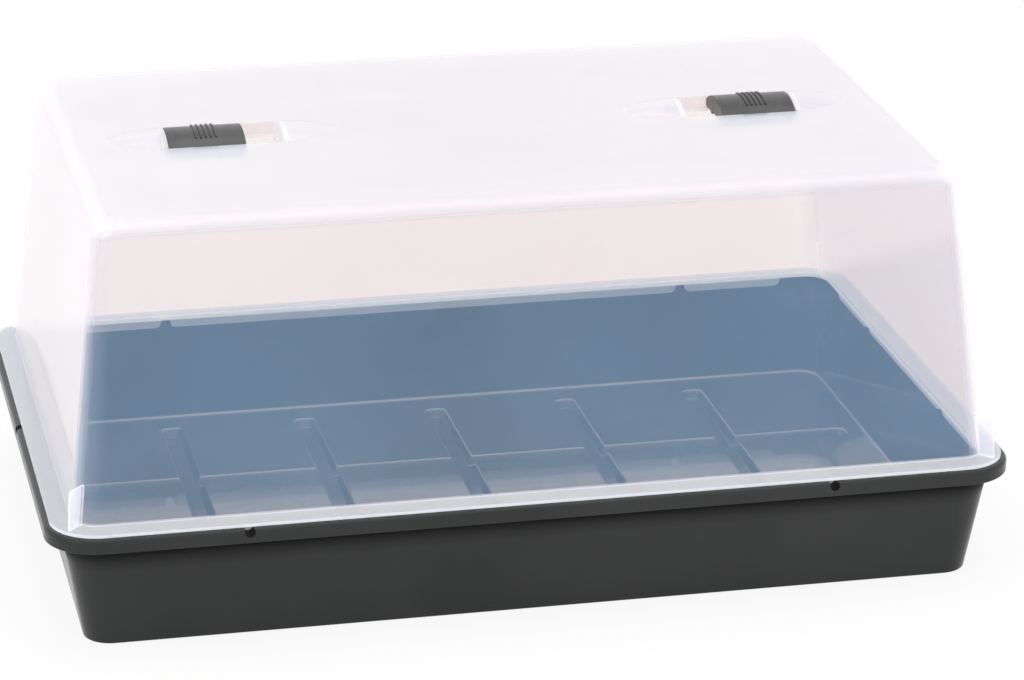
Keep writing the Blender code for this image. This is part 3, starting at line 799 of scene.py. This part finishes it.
def finPiece():
    # stands along X from the lid's wall, its foot inside the flange
    size = lidSize
    radius = traySize["rimRadius"] - size["flangeSetback"]
    flangeTop = size["seat"] + size["flangeThickness"]
    low, high = flangeTop - size["flangeThickness"] / 2, flangeTop + size["finHeight"]

    def wallReach(z):
        return cornerReach(z, size["wall"] / 2)

    half, outer = size["finThickness"] / 2, radius - size["finEdgeClear"]
    fin = makeBlock((wallReach(low), -half, low), (outer, half, high))
    startEditing(fin, "EDGE")
    pick(fin, "edges", lambda e: all(v.co.x > outer - half and v.co.z > high - half for v in e.verts))
    bpy.ops.transform.translate(value=(-size["finLean"], 0, 0))
    bpy.ops.mesh.bevel(offset=size["finTopRadius"], segments=size["endSteps"], affect="EDGES")
    pick(fin, "edges", lambda e: all(v.co.x < wallReach(low) + half and v.co.z > high - half
                                     for v in e.verts))
    bpy.ops.transform.translate(value=(wallReach(high) - wallReach(low), 0, 0))
    stopEditing()
    return roundEdges(fin, size["finEdge"], 2)


def addFins(lid):
    size = lidSize
    radius = traySize["rimRadius"] - size["flangeSetback"]
    hubX = traySize["length"] / 2 - size["flangeSetback"] - radius
    hubY = traySize["depth"] / 2 - size["flangeSetback"] - radius
    for (sideX, sideY), angle in zip(fourCorners, (45, 135, 225, 315)):
        for piece in (finPiece(), finRoot()):
            weldOn(lid, placeAt(piece, angle, (sideX * hubX, sideY * hubY, 0)))


def archFoot():
    return lidSize["height"] - ventSize["archFootDrop"]


def archTop():
    return lidSize["height"] + ventSize["archRise"]


def archRadius(halfWidth, rise):
    return (rise * rise + halfWidth * halfWidth) / (2 * rise)


def fairingBody(start, direction, length, skip, thin):
    # an arched end face, pulled out in steps while it shrinks towards the tip
    size = ventSize
    foot = archFoot() - thin
    rise = archTop() - archFoot()
    radius = archRadius(size["halfWidth"] - thin, rise)
    first = start + direction * skip
    bpy.ops.mesh.primitive_circle_add(vertices=size["archSides"], radius=radius, fill_type="NGON",
                                      location=(first, 0, foot + rise - radius),
                                      rotation=(0, math.pi / 2, 0))
    piece = settle(bpy.context.active_object)
    startEditing(piece, "FACE")
    bpy.ops.mesh.select_all(action="SELECT")
    bpy.ops.mesh.bisect(plane_co=(first, 0, foot), plane_no=(0, 0, 1), clear_inner=True)
    bpy.ops.mesh.select_all(action="SELECT")
    steps = size["fairingSteps"]
    lastX, lastScale = first, 1.0
    for step in range(1, steps + 1):
        share = skip / length + (1 - skip / length) * math.sin(math.pi / 2 * step / steps)
        share = max(share, 0.0)
        scale = max(math.sqrt(max(1 - share * share, 0)), size["fairingTip"])
        x = start + direction * length * share
        bpy.ops.mesh.extrude_region_move(TRANSFORM_OT_translate={"value": (x - lastX, 0, 0)})
        bpy.ops.transform.resize(value=(1, scale / lastScale, scale / lastScale),
                                 center_override=(x, 0, foot))
        lastX, lastScale = x, scale
    bpy.ops.mesh.select_all(action="SELECT")
    bpy.ops.mesh.normals_make_consistent(inside=False)
    stopEditing()
    return piece


def addVent(lid, side):
    size = ventSize
    middle, halfTrack = side * size["place"], size["trackLength"] / 2
    trackFloor = lidSize["height"] - size["trackDepth"]
    under = trackFloor - size["trackWall"]
    for direction in bothSides:
        start = middle + direction * halfTrack
        weldOn(lid, fairingBody(start, direction, size["fairingLength"], -overlap, 0.0))
        hollow = size["fairingLength"] - 2 * lidSize["wall"]
        cutAway(lid, fairingBody(start, direction, hollow, size["archWall"], lidSize["wall"]))
    halfWell, halfWidth = halfTrack + size["archWall"], size["halfWidth"] + size["trackWall"]
    weldOn(lid, makeBlock((middle - halfWell, -halfWidth, under),
                          (middle + halfWell, halfWidth, lidSize["height"] - lidSize["wall"] / 2)))
    cutAway(lid, makeBlock((middle - halfTrack, -size["halfWidth"], trackFloor),
                           (middle + halfTrack, size["halfWidth"], archTop() + overlap)))
    lowX, highX = sorted((side * size["holeInner"], side * size["holeOuter"]))
    cutAway(lid, makeBlock((lowX, -size["holeHalfWidth"], under - overlap),
                           (highX, size["holeHalfWidth"], trackFloor + overlap)))


def makeLid():
    lid = ringBody("lid", lidRings(), lidSize["cornerSteps"])
    addSkirt(lid)
    addFins(lid)
    for side in bothSides:
        addVent(lid, side)
    markDepth(lid)
    finishPiece(lid, "domeLid", "lid", "dome_lid", lidPlastic, 30)


makeLid()
print("lid made")


# the vent shutters

shutterSize = {
    "length": 0.0465, "travel": 0.0225, "wall": 0.0016, "sideGap": 0.0004, "floorGap": 0.0003,
    "edgeRound": 0.0005, "archSides": 320,
    "gripCount": 5, "gripPitch": 0.003, "gripWidth": 0.0012, "gripRise": 0.001, "gripHalfSpan": 0.013,
    "gripRound": 0.42,      # share of the width
    "clipLength": 0.0145, "clipThickness": 0.0015, "clipSideGap": 0.0005, "clipSetback": 0.002,
    "clipEdge": 0.00015, "clipRoot": 0.002,
    "hookReach": 0.0012, "hookHeight": 0.0014, "hookGap": 0.0004,
    "hookSlope": 0.6,       # share of the height
}

shutterLook = {
    "dark": (0.030, 0.031, 0.031),
    "light": (0.050, 0.051, 0.050),
    "scratch": (0.12, 0.12, 0.117),
    "scratchFrom": (0.62, 0.74), "scratchShare": 0.5,
    "smoothest": 0.26, "roughest": 0.38,
    "grain": 0.00005, "grainScales": (1400, 40, 240),
}


def makeShutterPlastic():
    look = shutterLook
    material, tree = newMaterial("shutterPlastic")
    grain, drift, scuff = placeGrain(tree, *look["grainScales"])[:3]
    colour = mixColours(tree, rescale(tree, drift, *mostNoise, 0, 1), look["dark"], look["light"])
    scratched = rescale(tree, scuff, *look["scratchFrom"], 0, look["scratchShare"])
    colour = mixColours(tree, scratched, colour, look["scratch"])
    roughness = rescale(tree, scuff, *nearlyAllNoise, look["smoothest"], look["roughest"])
    bump = addNode(tree, "Bump", (grain, "Height"), Strength=0.5, Distance=look["grain"])
    shader = addNode(tree, "BsdfPrincipled", (colour, "Base Color"), (roughness, "Roughness"),
                     (bump.outputs[0], "Normal"))
    addNode(tree, "OutputMaterial", (shader.outputs[0], "Surface"))
    return material


shutterPlastic = makeShutterPlastic()
print("shutter plastic made")


def archedBlock(halfLength, thin, bottom, rise=0.0):
    # arched top and upright sides, thinned by a wall's thickness for the hollow
    size = shutterSize
    halfWidth = ventSize["halfWidth"] - size["sideGap"] - thin
    foot, top = archFoot() - thin / 2, archTop() - thin
    radius = archRadius(halfWidth, top - foot)
    block = makeBlock((-halfLength, -halfWidth, bottom), (halfLength, halfWidth, top + 2 * overlap))
    rod = makeRod(radius + rise, -halfLength - overlap, halfLength + overlap, 0, (0, top - radius),
                  size["archSides"])
    return keepInside(block, rod)


def gripRib(x):
    size = shutterSize
    halfWidth = size["gripWidth"] / 2
    rib = archedBlock(halfWidth, 0.0, archFoot(), size["gripRise"])
    keepInside(rib, makeBlock((-halfWidth * 2, -size["gripHalfSpan"], archFoot() - overlap),
                              (halfWidth * 2, size["gripHalfSpan"], archTop() + 3 * overlap)))
    roundEdges(rib, size["gripWidth"] * size["gripRound"], 4)
    return placeAt(rib, 0, (x, 0, 0))


def clipLeg(x, side):
    size, vent = shutterSize, ventSize
    outer = vent["holeHalfWidth"] - size["clipSideGap"]
    inner = outer - size["clipThickness"]
    under = lidSize["height"] - vent["trackDepth"] - vent["trackWall"]
    hookTop = under - size["hookGap"]
    hookLow = hookTop - size["hookHeight"]
    hookY = vent["holeHalfWidth"] + size["hookReach"]
    half = size["clipLength"] / 2
    leg = makeBlock((x - half, inner, hookLow), (x + half, outer, archFoot() + size["clipRoot"]))
    hook = makeBlock((x - half, inner, hookLow), (x + half, hookY, hookTop))
    startEditing(hook, "EDGE")
    pick(hook, "edges", lambda e: all(v.co.y > outer and v.co.z < hookTop - size["hookGap"]
                                      for v in e.verts))
    bpy.ops.transform.translate(value=(0, 0, size["hookHeight"] * size["hookSlope"]))
    stopEditing()
    weldOn(leg, hook)
    roundEdges(leg, size["clipEdge"], 2)
    if side > 0:
        return placeAt(leg)
    return placeAt(leg, 180, (2 * x, 0, 0))


def makeShutter(name, body, node, side):
    size = shutterSize
    half = size["length"] / 2
    bottom = lidSize["height"] - ventSize["trackDepth"] + size["floorGap"]
    shutter = archedBlock(half, 0.0, bottom)
    roundEdges(shutter, size["edgeRound"], 3, 30)
    cutAway(shutter, archedBlock(half - size["wall"], size["wall"], bottom - overlap))
    for rib in range(size["gripCount"]):
        weldOn(shutter, gripRib((rib - (size["gripCount"] - 1) / 2) * size["gripPitch"]))
    clipX = -side * (half - size["clipSetback"] - size["clipLength"] / 2)
    for clipSide in bothSides:
        weldOn(shutter, clipLeg(clipX, clipSide))
    placeAt(shutter, 0, (side * (ventSize["place"] + size["travel"] / 2), 0, 0))
    finishPiece(shutter, name, body, node, shutterPlastic, 30)


makeShutter("leftVentShutter", "left_shutter", "vent_shutter_left", -1)
makeShutter("rightVentShutter", "right_shutter", "vent_shutter_right", 1)
print("shutters made")


# floor, light and camera

stageLook = {
    "floorSize": 12.0, "floorDrop": 0.0004, "floorColour": (0.94, 0.94, 0.94), "floorShadow": 0.12,
    "worldLevel": 1.0, "lampAim": (0, 0, 0.12),
    "lamps": (
        # name, place, size, watts
        ("overheadSoftbox", (0.0, 0.2, 2.7), 2.4, 20.0),
        ("leftSoftbox", (-2.4, -1.4, 1.6), 1.4, 9.0),
    ),
}


def whiteToCamera(tree, strength=1.0):
    # 1 for what the camera sees, straight, in gloss or through the lid
    path = addNode(tree, "LightPath")
    seen = calculate(tree, "MAXIMUM", path.outputs["Is Camera Ray"], path.outputs["Is Glossy Ray"])
    seen = calculate(tree, "MAXIMUM", seen, path.outputs["Is Transmission Ray"])
    return calculate(tree, "MULTIPLY", seen, strength)


def makeFloor():
    look = stageLook
    bpy.ops.mesh.primitive_plane_add(size=look["floorSize"], location=(0, 0, -look["floorDrop"]))
    floor = settle(bpy.context.active_object)
    floor.name = "studioFloor"
    material, tree = newMaterial("studioFloor")
    matt = addNode(tree, "BsdfDiffuse", Color=(*look["floorColour"], 1))
    glow = addNode(tree, "Emission", Strength=1.0)
    share = whiteToCamera(tree, 1 - look["floorShadow"])
    mix = addNode(tree, "MixShader", (share, 0), (matt.outputs[0], 1), (glow.outputs[0], 2))
    addNode(tree, "OutputMaterial", (mix.outputs[0], "Surface"))
    floor.data.materials.append(material)


def makeWorld():
    world = bpy.data.worlds.new("studioWorld")
    bpy.context.scene.world = world
    world.use_nodes = True
    tree = world.node_tree
    tree.nodes.clear()
    level = addNode(tree, "Background", Color=(1, 1, 1, 1), Strength=stageLook["worldLevel"])
    white = addNode(tree, "Background", Color=(1, 1, 1, 1), Strength=1.0)
    mix = addNode(tree, "MixShader", (whiteToCamera(tree), 0), (level.outputs[0], 1), (white.outputs[0], 2))
    addNode(tree, "OutputWorld", (mix.outputs[0], "Surface"))


def makeLamps():
    for name, place, width, watts in stageLook["lamps"]:
        lampData = bpy.data.lights.new(name, "AREA")
        lampData.shape, lampData.size, lampData.energy = "DISK", width, watts
        lamp = bpy.data.objects.new(name, lampData)
        bpy.context.scene.collection.objects.link(lamp)
        lamp.location = place
        lamp.rotation_mode = "QUATERNION"
        ahead = Vector(stageLook["lampAim"]) - Vector(place)
        lamp.rotation_quaternion = ahead.to_track_quat("-Z", "Y")
        lamp.visible_camera = False


cameraView = {
    "place": (-0.4835, -2.2882, 0.9638),
    "turn": 12.41, "tilt": 20.07, "roll": -0.2636,     # degrees
    "lens": 140.67, "sensor": 36.0,
}


def makeCamera():
    turn, tilt, roll = (math.radians(cameraView[name]) for name in ("turn", "tilt", "roll"))
    ahead = Vector((math.sin(turn) * math.cos(tilt), math.cos(turn) * math.cos(tilt), -math.sin(tilt)))
    right = Vector((math.cos(turn), -math.sin(turn), 0))
    below = ahead.cross(right)
    right, below = (math.cos(roll) * right + math.sin(roll) * below,
                    math.cos(roll) * below - math.sin(roll) * right)
    camera = bpy.data.objects.new("photoCamera", bpy.data.cameras.new("photoCamera"))
    bpy.context.scene.collection.objects.link(camera)
    axes = Matrix((right, -below, -ahead)).transposed()
    camera.matrix_world = Matrix.Translation(cameraView["place"]) @ axes.to_4x4()
    camera.data.sensor_width, camera.data.lens = cameraView["sensor"], cameraView["lens"]
    camera.data.clip_start, camera.data.clip_end = 0.05, 50
    bpy.context.scene.camera = camera


makeFloor()
makeWorld()
makeLamps()
makeCamera()
bpy.context.scene.view_settings.view_transform = "Standard"
print("stage set")
